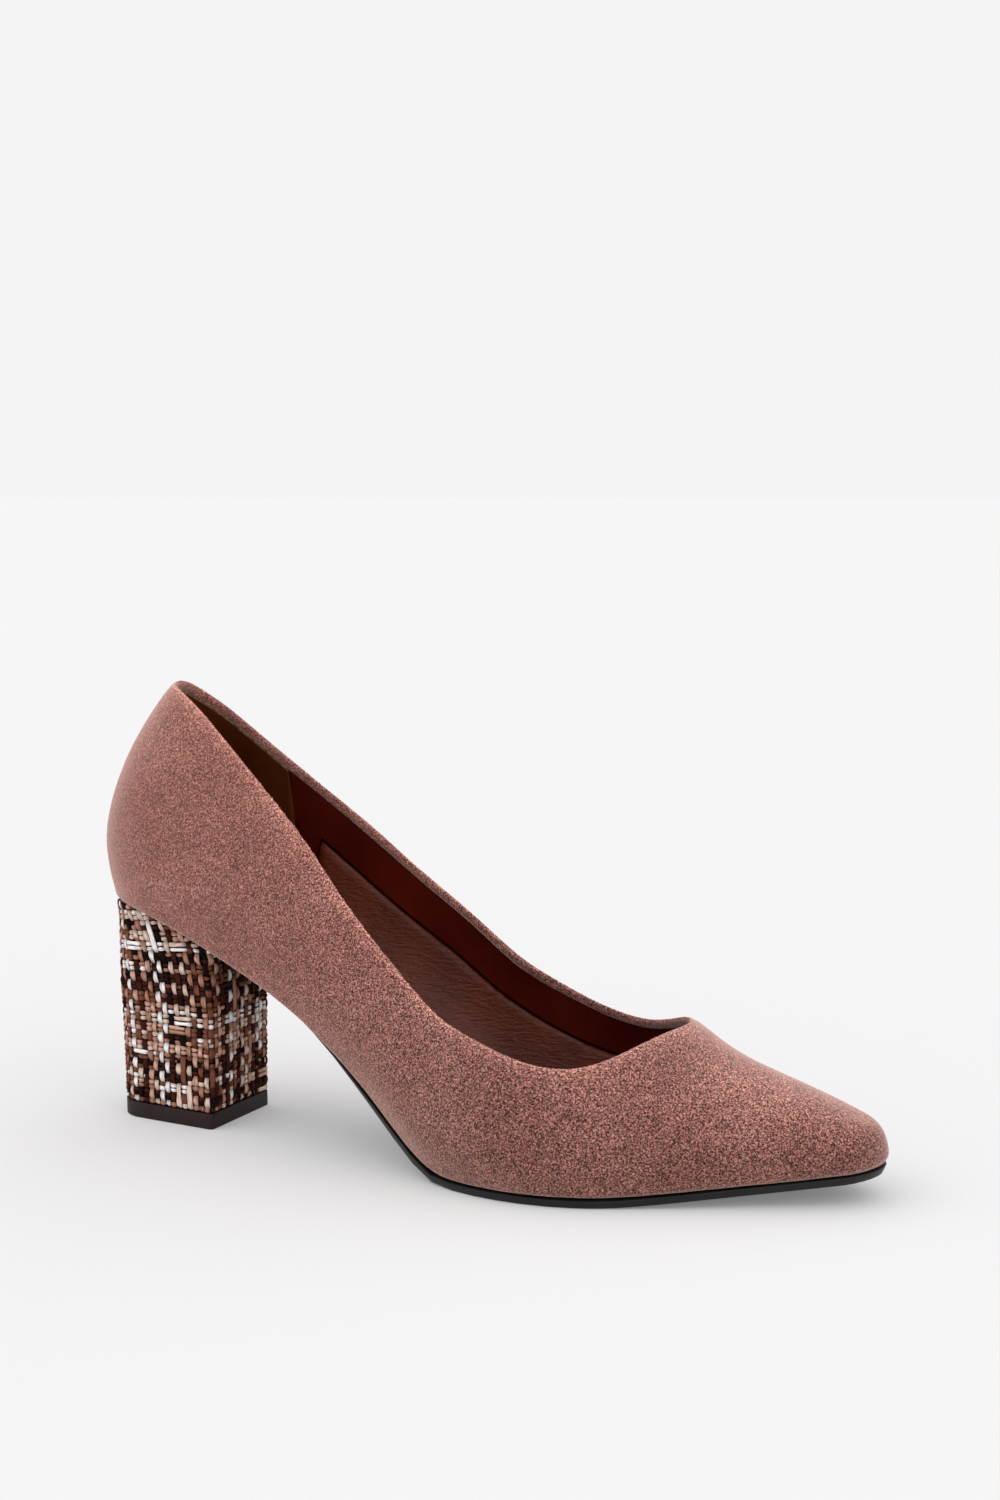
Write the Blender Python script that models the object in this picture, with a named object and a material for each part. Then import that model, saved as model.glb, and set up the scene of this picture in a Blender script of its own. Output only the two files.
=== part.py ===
# A women's block heel pump for the right foot: suede upper, insole, outsole, covered heel and top piece.
# Metres, +Z up, toe along +X, medial side along +Y. The origin is the middle of the heel on the floor.
import math

import bmesh
import bpy
import numpy as np
from mathutils import Vector

# Driving sizes of the last
SHOE_LENGTH = 0.2375        # fullest place of the counter to the tip of the toe, along the floor
BALL_WIDTH = 0.0760         # the upper across its widest place
SEAT_HEIGHT = 0.0646        # tread to the feather line at the back, measured up
INSTEP_HEIGHT = 0.0740      # feather line to the crown of the closed last at its tallest
COLLAR_HEIGHT = 0.0640      # feather line to the top edge at the back
BELLY_HEIGHT = 0.0180       # feather line to the fullest place of the counter
COUNTER_LEAN = 0.0225       # how far the top edge at the back stands in front of the fullest place
LEAN_POWER = 1.75           # how late the counter leans on its way up
SEAT_TUCK = 0.0030          # how far the feather line at the back tucks under the fullest place
HEEL_RADIUS = 0.0270        # length of the rounded back of the counter
TOE_RADIUS = 0.0075         # length of the rounded tip of the toe
NOSE_DEPTH = 0.0055         # how far the top of the toe's tip rolls back
ARCH_LIFT = 0.0030          # how far the medial feather line rises over the lateral one at the waist
EDGE_RADIUS = 0.0025        # rounding of the upper where it turns under
MARGIN = 0.0050             # width of the upper turned under
MARGIN_REACH = 0.0120       # tip of the toe to the point its margin turns round
MARGIN_SHARE = 0.70         # the margin keeps this share of the way to the middle at most
WALL = 0.0018               # suede with its lining
LEAN_TO = 0.40              # share of the length over which the counter's lean fades
NOSE_FROM = 0.90            # share of the length where the nose starts to roll back
SLOPE_STEP = 0.0005         # length over which a slope is measured
SAME_POINT = 0.000001       # points nearer than this are one point

# Sole, insole and heel
TREAD_THICKNESS = 0.0022
WAIST_THICKNESS = 0.0012
TREAD_BLEND = 0.0013        # height over which the shank rounds into the flat tread
TREAD_FROM = 0.50           # share of the length where the sole reaches the tread's thickness
WAIST_TO = 0.34             # share of the length where it leaves the waist's thickness
SOLE_INSET = 0.0006         # edge of the sole inside the edge of the upper, at the tread
BREAST_INSET = 0.0066       # the same at the breast, where the sole is no wider than the heel
SOLE_WIDE_AT = 0.43         # share of the length where the sole reaches its full width
SOLE_BEVEL = 0.0010         # how far the underside is narrower than the top, each side
INSOLE_THICKNESS = 0.0020
CLEARANCE = 0.0003          # between neighbouring pieces
TOP_PIECE_THICKNESS = 0.0046
BREAST_AT = 0.0407          # fullest place of the counter to the breast of the heel, on the floor
BREAST_LEAN = 0.0010        # how far the breast stands forward at the top
HEEL_BACK = 0.0045          # fullest place of the counter to the back of the heel, on the floor
HEEL_BREAST_WIDTH = 0.0320  # across the breast, on the floor
HEEL_BACK_WIDTH = 0.0276    # across the back, on the floor
HEEL_BACK_CORNER = 0.0100   # rounding of the two back corners
HEEL_BREAST_CORNER = 0.0015 # rounding of the two corners of the breast
HEEL_FLARE = 0.0030         # how far the heel widens at its top, where it widens most
FLARE_POWER = 2.2           # how late the heel widens on its way up

# Closed last, one row for each section. Shares: at of SHOE_LENGTH; lateral and medial of BALL_WIDTH,
# from the middle line to the fullest place; swing of BALL_WIDTH, how far the middle line lies medially;
# rise of SEAT_HEIGHT, the feather line over the tread, with the tread under zero; arch of ARCH_LIFT;
# crown of INSTEP_HEIGHT over the feather line; belly of crown, the height of the fullest place;
# foot of the width, the feather line; fullness of the arch over the foot, as a power.
SECTION_COLUMNS = (
    "at", "lateral", "medial", "swing", "rise", "arch", "crown", "belly", "foot", "fullness",
)
SECTIONS = (
    (0.00, 0.318, 0.318, 0.000, 0.980, 0.0, 1.000, 0.24, 0.92, 1.65),
    (0.10, 0.322, 0.325, 0.000, 0.938, 0.0, 1.000, 0.24, 0.91, 1.62),
    (0.20, 0.333, 0.335, 0.000, 0.782, 0.1, 0.990, 0.24, 0.90, 1.65),
    (0.32, 0.365, 0.350, 0.000, 0.550, 0.7, 0.960, 0.24, 0.88, 1.75),
    (0.44, 0.435, 0.385, 0.000, 0.200, 1.0, 0.900, 0.22, 0.88, 1.85),
    (0.50, 0.500, 0.420, 0.000, 0.038, 0.7, 0.848, 0.20, 0.90, 1.92),
    (0.56, 0.560, 0.445, 0.000, -0.030, 0.3, 0.785, 0.20, 0.92, 1.95),
    (0.62, 0.580, 0.460, 0.000, -0.034, 0.0, 0.712, 0.20, 0.93, 1.95),
    (0.70, 0.535, 0.455, 0.000, -0.022, 0.0, 0.610, 0.20, 0.94, 1.85),
    (0.76, 0.460, 0.430, 0.010, 0.008, 0.0, 0.556, 0.22, 0.95, 1.75),
    (0.80, 0.405, 0.390, 0.015, 0.026, 0.0, 0.460, 0.23, 0.95, 1.70),
    (0.86, 0.325, 0.325, 0.030, 0.052, 0.0, 0.350, 0.25, 0.95, 1.75),
    (0.94, 0.210, 0.210, 0.040, 0.087, 0.0, 0.232, 0.30, 0.95, 1.95),
    (1.00, 0.120, 0.120, 0.045, 0.114, 0.0, 0.150, 0.35, 0.95, 2.10),
)

# Top edge: height as a share of the closed last's crown. The last row is the throat.
TOPLINE_COLUMNS = ("at", "lateral", "medial")
TOPLINE = (
    (0.000, 0.862, 0.862),
    (0.100, 0.828, 0.758),
    (0.200, 0.776, 0.710),
    (0.320, 0.695, 0.645),
    (0.400, 0.644, 0.660),
    (0.480, 0.668, 0.745),
    (0.560, 0.670, 0.722),
    (0.640, 0.662, 0.697),
    (0.700, 0.745, 0.785),
    (0.768, 1.000, 1.000),
)
THROAT_SPREAD = 0.10        # share of the length behind the throat where the sections crowd
RIM_CROWN = 0.0005          # how far the middle of the top edge stands over its two sides

# Widening of the heel at its top, from the back to the breast. Shares: at of the heel's depth,
# out of HEEL_FLARE.
FLARE_COLUMNS = ("at", "out")
FLARE = (
    (0.00, 0.60),
    (0.25, 1.00),
    (0.60, 0.60),
    (1.00, 0.15),
)

# Facets
HEEL_STATIONS = 8
QUARTER_STATIONS = 18
THROAT_STATIONS = 8
VAMP_STATIONS = 8
TIP_STATIONS = 5
WALL_ROWS = 9
EDGE_ROWS = 3
LOW_TURN = 0.45             # share of a turn given to the rows under the fullest place
ACROSS = 6                  # spans of the sole and the insole from side to side
HEEL_LEVELS = 8
CORNER_POINTS = 7
SIDE_POINTS = 6
HALVINGS = 40               # steps that find a station from its place
SHARP_ANGLE = 40.0          # degrees, edges sharper than this are shaded sharp

# Linear colour and roughness of each piece: suede, coated insole, rubber, tweed and hard rubber
FINISHES = {
    "upper": ((0.275, 0.130, 0.110), 0.95),
    "insole": ((0.060, 0.022, 0.014), 0.45),
    "outsole": ((0.012, 0.010, 0.011), 0.55),
    "heel": ((0.160, 0.095, 0.075), 0.90),
    "top_piece": ((0.030, 0.018, 0.020), 0.60),
}

SIDES = (-1, 1)             # lateral, medial
SIDE_NAMES = {-1: "lateral", 1: "medial"}


def natural_spline(xs, ys):
    """A twice smooth curve through the points, as a function."""
    xs = np.array(xs, float)
    ys = np.array(ys, float)
    gaps = np.diff(xs)
    slopes = np.diff(ys) / gaps
    size = len(xs)
    matrix = np.zeros((size, size))
    right = np.zeros(size)
    matrix[0, 0] = matrix[-1, -1] = 1.0
    for k in range(1, size - 1):
        matrix[k, k - 1] = gaps[k - 1]
        matrix[k, k] = 2.0 * (gaps[k - 1] + gaps[k])
        matrix[k, k + 1] = gaps[k]
        right[k] = 6.0 * (slopes[k] - slopes[k - 1])
    bends = np.linalg.solve(matrix, right)

    def value(x):
        k = int(np.clip(np.searchsorted(xs, x) - 1, 0, size - 2))
        before, after, gap = x - xs[k], xs[k + 1] - x, gaps[k]
        cubic = (bends[k] * after**3 + bends[k + 1] * before**3) / (6.0 * gap)
        left = (ys[k] / gap - bends[k] * gap / 6.0) * after
        return float(cubic + left + (ys[k + 1] / gap - bends[k + 1] * gap / 6.0) * before)

    return value


def table_curves(columns, rows):
    """One smooth curve for each column of a table, over its first column."""
    at = [row[0] for row in rows]
    return {
        name: natural_spline(at, [row[k] for row in rows])
        for k, name in enumerate(columns)
        if k
    }


LAST = table_curves(SECTION_COLUMNS, SECTIONS)
EDGE = table_curves(TOPLINE_COLUMNS, TOPLINE)
THROAT_AT = TOPLINE[-1][0]
HEEL_AT = HEEL_RADIUS / SHOE_LENGTH
TIP_AT = 1.0 - TOE_RADIUS / SHOE_LENGTH
TREAD_HEIGHT = TREAD_THICKNESS + CLEARANCE
ORIGIN_X = (HEEL_BACK + BREAST_AT) / 2.0    # middle of the heel's flat


def rounding(at):
    """Closes the plan at both ends with part of an ellipse."""
    heel = min(1.0, at / HEEL_AT)
    tip = max(0.0, (at - TIP_AT) / (1.0 - TIP_AT))
    return math.sqrt(max(0.0, 1.0 - (1.0 - heel) ** 2)) * math.sqrt(max(0.0, 1.0 - tip**2))


def bottom_height(x, y):
    """Height of the upper's underside over the floor. It is flat at the tread and lifts at the arch."""
    at = (x + ORIGIN_X) / SHOE_LENGTH
    rise = SEAT_HEIGHT * LAST["rise"](at)
    if rise < TREAD_BLEND:
        rise = max(0.0, rise + TREAD_BLEND) ** 2 / (4.0 * TREAD_BLEND)
    medial = y / (BALL_WIDTH * LAST["medial"](at) * LAST["foot"](at))
    return TREAD_HEIGHT + rise + ARCH_LIFT * max(0.0, LAST["arch"](at)) * max(0.0, medial) ** 2


def upright(x, y):
    """Height gained by one unit of thickness laid square on the underside."""
    rise = bottom_height(x + SLOPE_STEP, y) - bottom_height(x - SLOPE_STEP, y)
    slope = rise / (2.0 * SLOPE_STEP)
    return math.sqrt(1.0 + slope**2)


def crown(at):
    return INSTEP_HEIGHT * LAST["crown"](at)


def half_width(side, at, height):
    """Half width of the closed last at a height above the feather line."""
    full = BALL_WIDTH * LAST[SIDE_NAMES[side]](at) * rounding(at)
    belly = crown(at) * LAST["belly"](at)
    if height < belly:
        below = 1.0 - height / belly
        return full * (1.0 - (1.0 - LAST["foot"](at)) * below**2)
    above = min(1.0, (height - belly) / (crown(at) - belly))
    power = LAST["fullness"](at)
    return full * (1.0 - above**power) ** (1.0 / power)


def along(at, height):
    """Place along the shoe: the counter leans forward with height, and the nose rolls back."""
    x = SHOE_LENGTH * at
    near_heel = max(0.0, 1.0 - at / LEAN_TO) ** 2
    if height > BELLY_HEIGHT:
        lean = (height - BELLY_HEIGHT) / (COLLAR_HEIGHT - BELLY_HEIGHT)
        x += COUNTER_LEAN * lean**LEAN_POWER * near_heel
    else:
        x += SEAT_TUCK * (1.0 - height / BELLY_HEIGHT) ** 2 * near_heel
    near_tip = max(0.0, (at - NOSE_FROM) / (1.0 - NOSE_FROM)) ** 2
    rolled = min(1.0, height / crown(at))
    return x - NOSE_DEPTH * (1.0 - math.sqrt(1.0 - rolled**2)) * near_tip - ORIGIN_X


def surface(side, at, height):
    """Point of the closed last at a height above the feather line."""
    height = min(height, crown(at))
    middle = BALL_WIDTH * LAST["swing"](at)
    across = middle + side * half_width(side, at, height)
    foot = middle + side * half_width(side, at, EDGE_RADIUS)
    return Vector((along(at, height), across, bottom_height(along(at, EDGE_RADIUS), foot) + height))


def stations():
    """Places of the sections, close together at the heel, the throat and the tip."""
    start = THROAT_AT - THROAT_SPREAD
    places = []
    for k in range(HEEL_STATIONS):
        places.append(HEEL_AT * (1.0 - math.cos(0.5 * math.pi * k / HEEL_STATIONS)))
    for k in range(QUARTER_STATIONS):
        places.append(HEEL_AT + (start - HEEL_AT) * k / QUARTER_STATIONS)
    for k in range(THROAT_STATIONS):
        places.append(THROAT_AT - THROAT_SPREAD * (1.0 - k / THROAT_STATIONS) ** 2)
    for k in range(VAMP_STATIONS):
        places.append(THROAT_AT + (TIP_AT - THROAT_AT) * k / VAMP_STATIONS)
    for k in range(TIP_STATIONS + 1):
        places.append(TIP_AT + (1.0 - TIP_AT) * math.sin(0.5 * math.pi * k / TIP_STATIONS))
    return places


STATIONS = stations()


def inward(side, places, k, height):
    """Direction square to the plan outline at one station, toward the inside."""
    if places[k] <= 0.0:
        return Vector((1.0, 0.0, 0.0))
    if places[k] >= 1.0:
        return Vector((-1.0, 0.0, 0.0))
    before = surface(side, places[max(0, k - 1)], height)
    after = surface(side, places[min(len(places) - 1, k + 1)], height)
    run = after - before
    return side * Vector((run.y, -run.x, 0.0)).normalized()


def edge_line(side, places, insets):
    """Plan of one side's feather line, moved inward at each station."""
    return [
        surface(side, at, EDGE_RADIUS) + inset * inward(side, places, k, EDGE_RADIUS)
        for k, (at, inset) in enumerate(zip(places, insets))
    ]


def margin_line(side, places):
    """Plan of the inner edge of the turned-under margin. It keeps clear of the other side."""
    points = []
    for at in places:
        edge = surface(side, at, EDGE_RADIUS)
        spine_at = min(max(at, HEEL_AT), 1.0 - MARGIN_REACH / SHOE_LENGTH)
        spine = Vector((SHOE_LENGTH * spine_at - ORIGIN_X, BALL_WIDTH * LAST["swing"](spine_at), edge.z))
        reach = (spine - edge).length
        points.append(edge.lerp(spine, min(MARGIN_SHARE, (EDGE_RADIUS + MARGIN) / reach)))
    return points


def top_height(side, at):
    """Height of the upper's edge over its feather line: the crown, or the top edge behind the throat."""
    if at >= THROAT_AT:
        return crown(at)
    return crown(at) * min(1.0, EDGE[SIDE_NAMES[side]](at))


def wall_heights(side, at):
    """Heights of the rows of a wall, evenly turned round the section."""
    top = top_height(side, at)
    belly = crown(at) * LAST["belly"](at)
    power = LAST["fullness"](at)
    reach = max(0.0, (top - belly) / (crown(at) - belly))
    top_turn = math.asin(min(1.0, reach ** (power / 2.0)))
    heights = []
    for row in range(WALL_ROWS + 1):
        turn = (top_turn + LOW_TURN) * row / WALL_ROWS - LOW_TURN
        if turn < 0.0:
            heights.append(EDGE_RADIUS + (belly - EDGE_RADIUS) * (1.0 + turn / LOW_TURN))
        else:
            heights.append(belly + (crown(at) - belly) * math.sin(turn) ** (2.0 / power))
    heights[-1] = top
    return heights


def outer_wall(side):
    """Points of the upper's outside by station, from the turned-under margin to the top edge."""
    rows = [[Vector((p.x, p.y, bottom_height(p.x, p.y))) for p in margin_line(side, STATIONS)]]
    for row in range(EDGE_ROWS):
        turn = 0.5 * math.pi * (1.0 - row / EDGE_ROWS)
        inset = EDGE_RADIUS * (1.0 - math.cos(turn))
        line = edge_line(side, STATIONS, [inset] * len(STATIONS))
        lift = EDGE_RADIUS * (1.0 - math.sin(turn))
        rows.append([Vector((p.x, p.y, bottom_height(p.x, p.y) + lift)) for p in line])
    columns = []
    for k, at in enumerate(STATIONS):
        wall = [surface(side, at, height) for height in wall_heights(side, at)]
        columns.append([row[k] for row in rows] + wall)
    return columns


def build_object(name, points, faces):
    """A closed body with its own material, its faces turned outward."""
    mesh = bpy.data.meshes.new(name)
    body = bmesh.new()
    corners = [body.verts.new(point) for point in points]
    for face in faces:
        distinct = list(dict.fromkeys(face))
        if len(distinct) > 2:
            body.faces.new([corners[index] for index in distinct])
    bmesh.ops.recalc_face_normals(body, faces=body.faces[:])
    for face in body.faces:
        face.smooth = True
    body.to_mesh(mesh)
    body.free()
    mesh.set_sharp_from_angle(angle=math.radians(SHARP_ANGLE))
    material = bpy.data.materials.new(name)
    material.use_nodes = True
    shader = material.node_tree.nodes["Principled BSDF"]
    color, roughness = FINISHES[name]
    shader.inputs["Base Color"].default_value = (*color, 1.0)
    shader.inputs["Roughness"].default_value = roughness
    mesh.materials.append(material)
    piece = bpy.data.objects.new(name, mesh)
    bpy.context.collection.objects.link(piece)
    return piece


def upper_grid():
    """Outside of the upper: points, and their numbers by side, station and row. Shared lines meet once."""
    points = []
    numbers = {}
    last = len(STATIONS) - 1
    for side in SIDES:
        for k, column in enumerate(outer_wall(side)):
            for row, point in enumerate(column):
                crest = row == len(column) - 1 and STATIONS[k] >= THROAT_AT
                shared = side > 0 and (k in (0, last) or crest)
                if shared:
                    numbers[side, k, row] = numbers[-side, k, row]
                else:
                    numbers[side, k, row] = len(points)
                    points.append(point)
    return points, numbers


def wall_faces(numbers, rows):
    """Faces of the outside, turned outward."""
    faces = []
    for side in SIDES:
        for k in range(len(STATIONS) - 1):
            for row in range(rows - 1):
                face = [
                    numbers[side, k, row],
                    numbers[side, k, row + 1],
                    numbers[side, k + 1, row + 1],
                    numbers[side, k + 1, row],
                ]
                faces.append(face if side > 0 else face[::-1])
    return faces


def point_normals(points, faces):
    """Normal at each point, weighted by the areas of its faces."""
    normals = [Vector((0.0, 0.0, 0.0)) for _ in points]
    for face in faces:
        corners = [points[index] for index in face]
        square = (corners[2] - corners[0]).cross(corners[3] - corners[1])
        for index in set(face):
            normals[index] += square
    return [normal.normalized() for normal in normals]


def build_upper():
    """One folded skin: outside, rolled top edge, inside and the two edges of the margin."""
    outer, numbers = upper_grid()
    rows = EDGE_ROWS + WALL_ROWS + 2
    faces = wall_faces(numbers, rows)
    normals = point_normals(outer, faces)
    inner = [point - WALL * normal for point, normal in zip(outer, normals)]
    count = len(outer)
    points = outer + inner
    skin = faces + [[index + count for index in face[::-1]] for face in faces]
    rim = {}
    for side in SIDES:
        for k, at in enumerate(STATIONS):
            top = numbers[side, k, rows - 1]
            if at > THROAT_AT or top in rim:
                continue
            below = outer[numbers[side, k, rows - 2]]
            up = (outer[top] - below).normalized()
            rim[top] = len(points)
            points.append(0.5 * (outer[top] + inner[top]) + RIM_CROWN * up)
    for side in SIDES:
        for k in range(len(STATIONS) - 1):
            low = numbers[side, k, 0], numbers[side, k + 1, 0]
            skin.append([low[0], low[1], low[1] + count, low[0] + count])
            if STATIONS[k + 1] > THROAT_AT:
                continue
            top = numbers[side, k, rows - 1], numbers[side, k + 1, rows - 1]
            middle = rim[top[0]], rim[top[1]]
            skin.append([top[0], top[1], middle[1], middle[0]])
            skin.append([middle[0], middle[1], top[1] + count, top[0] + count])
    columns = {
        (side, k): [inner[numbers[side, k, row]] for row in range(rows)]
        for side in SIDES
        for k in range(len(STATIONS))
    }
    build_object("upper", points, skin)
    return columns


def point_at_height(column, height):
    """Point of a column of the inside at a height."""
    for low, high in zip(column, column[1:]):
        if low.z <= height <= high.z:
            return low.lerp(high, (height - low.z) / (high.z - low.z))
    return column[-1]


def build_slab(name, lower, upper):
    """A slab from two sets of rows: each set has one row across for each station."""
    points = []
    numbers = {}
    for level, rows in enumerate((lower, upper)):
        for k, row in enumerate(rows):
            for j, point in enumerate(row):
                near = points and j and (point - points[-1]).length < SAME_POINT
                if not near:
                    points.append(point)
                numbers[level, k, j] = len(points) - 1
    stations_count = len(lower)
    faces = []
    for k in range(stations_count - 1):
        for j in range(ACROSS):
            for level in (0, 1):
                faces.append([
                    numbers[level, k, j],
                    numbers[level, k + 1, j],
                    numbers[level, k + 1, j + 1],
                    numbers[level, k, j + 1],
                ])
        for j in (0, ACROSS):
            faces.append([numbers[0, k, j], numbers[0, k + 1, j], numbers[1, k + 1, j], numbers[1, k, j]])
    for k in (0, stations_count - 1):
        for j in range(ACROSS):
            faces.append([numbers[0, k, j], numbers[0, k, j + 1], numbers[1, k, j + 1], numbers[1, k, j]])
    return build_object(name, points, faces)


def row_across(lateral, medial, raised):
    """Points from one edge to the other; raised gives the height at a plan point."""
    row = []
    for j in range(ACROSS + 1):
        point = lateral.lerp(medial, j / ACROSS)
        row.append(Vector((point.x, point.y, raised(point.x, point.y))))
    return row


def build_insole(columns):
    """Sits in the upper on the turned-under margin and follows the inside of the wall."""
    rows = []
    for thickness in (0.0, INSOLE_THICKNESS):
        lift = WALL + CLEARANCE + thickness

        def raised(x, y):
            return bottom_height(x, y) + lift * upright(x, y)

        level = []
        for k in range(len(STATIONS)):
            edges = []
            for side in SIDES:
                column = columns[side, k][1:]
                start = column[0]
                wall = point_at_height(column, raised(start.x, start.y))
                edges.append(wall + CLEARANCE * inward(side, STATIONS, k, EDGE_RADIUS))
            level.append(row_across(edges[0], edges[1], raised))
        rows.append(level)
    return build_slab("insole", rows[0], rows[1])


def station_of(x):
    """Station whose feather line stands at a place along the shoe."""
    low, high = 0.0, 1.0
    for _ in range(HALVINGS):
        middle = 0.5 * (low + high)
        if along(middle, EDGE_RADIUS) < x:
            low = middle
        else:
            high = middle
    return 0.5 * (low + high)


def sole_thickness(x):
    """The sole thickens from the waist to the tread."""
    at = (x + ORIGIN_X) / SHOE_LENGTH
    share = min(1.0, max(0.0, (at - WAIST_TO) / (TREAD_FROM - WAIST_TO)))
    share = share * share * (3.0 - 2.0 * share)
    return WAIST_THICKNESS + (TREAD_THICKNESS - WAIST_THICKNESS) * share


def sole_insets(places):
    """Edge of the sole inside the edge of the upper at each station. It narrows to the breast."""
    insets = []
    for at in places:
        share = min(1.0, max(0.0, (at - places[0]) / (SOLE_WIDE_AT - places[0])))
        share = share * share * (3.0 - 2.0 * share)
        insets.append(BREAST_INSET + (SOLE_INSET - BREAST_INSET) * share)
    return insets


def build_outsole():
    """Runs from the breast of the heel to the tip. Its underside is flat on the floor at the tread."""
    start = station_of(BREAST_AT + BREAST_LEAN + CLEARANCE - ORIGIN_X)
    step = 0.5 * (STATIONS[HEEL_STATIONS + 1] - STATIONS[HEEL_STATIONS])
    places = [start] + [at for at in STATIONS if at > start + step]
    insets = sole_insets(places)
    lines = {
        (side, bevel): edge_line(side, places, [inset + bevel for inset in insets])
        for side in SIDES
        for bevel in (0.0, SOLE_BEVEL)
    }

    def top(x, y):
        return bottom_height(x, y) - CLEARANCE * upright(x, y)

    def under(x, y):
        return bottom_height(x, y) - (CLEARANCE + sole_thickness(x)) * upright(x, y)

    upper_rows, lower_rows = [], []
    for k in range(len(places)):
        wide = [lines[side, 0.0][k] for side in SIDES]
        narrow = [lines[side, SOLE_BEVEL][k] for side in SIDES]
        if k == 0:
            narrow = [Vector((wide[0].x, edge.y, edge.z)) for edge in narrow]
            wide[1].x = wide[0].x
        upper_rows.append(row_across(wide[0], wide[1], top))
        lower_rows.append(row_across(narrow[0], narrow[1], under))
    return build_slab("outsole", lower_rows, upper_rows)


def heel_plan():
    """Half of the heel's plan on the floor, from the back edge round both corners to the breast."""
    back = HEEL_BACK - ORIGIN_X
    front = BREAST_AT - ORIGIN_X
    back_half, front_half = 0.5 * HEEL_BACK_WIDTH, 0.5 * HEEL_BREAST_WIDTH
    points = []
    for k in range(CORNER_POINTS):
        turn = 0.5 * math.pi * k / (CORNER_POINTS - 1)
        x = back + HEEL_BACK_CORNER * (1.0 - math.cos(turn))
        points.append((x, back_half - HEEL_BACK_CORNER * (1.0 - math.sin(turn))))
    straight = points[-1][0], front - HEEL_BREAST_CORNER
    for k in range(1, SIDE_POINTS):
        share = k / SIDE_POINTS
        x = straight[0] + (straight[1] - straight[0]) * share
        points.append((x, back_half + (front_half - back_half) * share))
    for k in range(CORNER_POINTS // 2 + 1):
        turn = 0.5 * math.pi * k / (CORNER_POINTS // 2)
        x = front - HEEL_BREAST_CORNER * (1.0 - math.sin(turn))
        points.append((x, front_half - HEEL_BREAST_CORNER * (1.0 - math.cos(turn))))
    return points


def heel_ring(height_share, flared, height):
    """Points of the heel's outline at a level, both sides. A flared block widens toward its top."""
    plan = heel_plan()
    flare = table_curves(FLARE_COLUMNS, FLARE)["out"]
    depth = BREAST_AT - HEEL_BACK
    ring = {}
    for side in SIDES:
        for k, (x, y) in enumerate(plan):
            before = plan[max(0, k - 1)]
            after = plan[min(len(plan) - 1, k + 1)]
            run = Vector((after[0] - before[0], after[1] - before[1]))
            out = Vector((-run.y, run.x)).normalized()
            share = min(1.0, max(0.0, (x + ORIGIN_X - HEEL_BACK) / depth))
            spread = flared * HEEL_FLARE * flare(share) * height_share**FLARE_POWER
            wide_x = x + min(0.0, out.x) * spread + flared * BREAST_LEAN * share * height_share
            wide_y = y + out.y * spread
            ring[side, k] = Vector((wide_x, side * wide_y, height(wide_x, side * wide_y, height_share)))
    return ring


def build_block(name, levels, flared, height):
    """A block on the heel's plan, with levels going up; height gives each point's height."""
    points = []
    numbers = {}
    count = len(heel_plan())
    for level in range(levels + 1):
        ring = heel_ring(level / levels, flared, height)
        for side in SIDES:
            for k in range(count):
                numbers[level, side, k] = len(points)
                points.append(ring[side, k])
    faces = []
    for level in range(levels):
        for side in SIDES:
            for k in range(count - 1):
                faces.append([
                    numbers[level, side, k],
                    numbers[level, side, k + 1],
                    numbers[level + 1, side, k + 1],
                    numbers[level + 1, side, k],
                ])
        for k in (0, count - 1):
            ends = [numbers[level, side, k] for side in SIDES]
            tops = [numbers[level + 1, side, k] for side in SIDES]
            faces.append([ends[0], ends[1], tops[1], tops[0]])
    for level in (0, levels):
        for k in range(count - 1):
            faces.append([
                numbers[level, -1, k],
                numbers[level, -1, k + 1],
                numbers[level, 1, k + 1],
                numbers[level, 1, k],
            ])
    return build_object(name, points, faces)


def build_heel():
    """Stands on the top piece and meets the underside of the upper."""
    foot = TOP_PIECE_THICKNESS + CLEARANCE

    def height(x, y, share):
        seat = bottom_height(x, y) - CLEARANCE * upright(x, y)
        return foot + (seat - foot) * share

    return build_block("heel", HEEL_LEVELS, 1.0, height)


def build_top_piece():
    """The walking surface of the heel, flat on the floor."""

    def height(x, y, share):
        return TOP_PIECE_THICKNESS * share

    return build_block("top_piece", 1, 0.0, height)


for old in list(bpy.data.objects):
    bpy.data.objects.remove(old, do_unlink=True)
inside_columns = build_upper()
build_insole(inside_columns)
build_outsole()
build_heel()
build_top_piece()
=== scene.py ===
import bisect
import math
import random

import bmesh
import bpy
from mathutils import Matrix, Vector, noise
from mathutils.bvhtree import BVHTree
from mathutils.kdtree import KDTree


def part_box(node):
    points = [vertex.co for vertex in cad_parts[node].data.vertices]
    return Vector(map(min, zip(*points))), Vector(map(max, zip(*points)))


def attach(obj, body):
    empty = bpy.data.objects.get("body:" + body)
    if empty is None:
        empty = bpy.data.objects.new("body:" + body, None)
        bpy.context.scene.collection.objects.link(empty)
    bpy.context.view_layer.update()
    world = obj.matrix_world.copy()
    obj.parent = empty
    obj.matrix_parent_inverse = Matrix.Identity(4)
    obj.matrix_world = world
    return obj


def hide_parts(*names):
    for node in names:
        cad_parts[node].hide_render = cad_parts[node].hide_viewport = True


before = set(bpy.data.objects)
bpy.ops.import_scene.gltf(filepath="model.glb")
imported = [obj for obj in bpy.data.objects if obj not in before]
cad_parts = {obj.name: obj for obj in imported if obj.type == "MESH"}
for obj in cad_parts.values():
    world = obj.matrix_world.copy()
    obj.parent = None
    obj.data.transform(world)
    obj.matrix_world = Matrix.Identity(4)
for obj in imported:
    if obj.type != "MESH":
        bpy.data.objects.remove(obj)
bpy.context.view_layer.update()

print("frame loaded")


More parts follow.
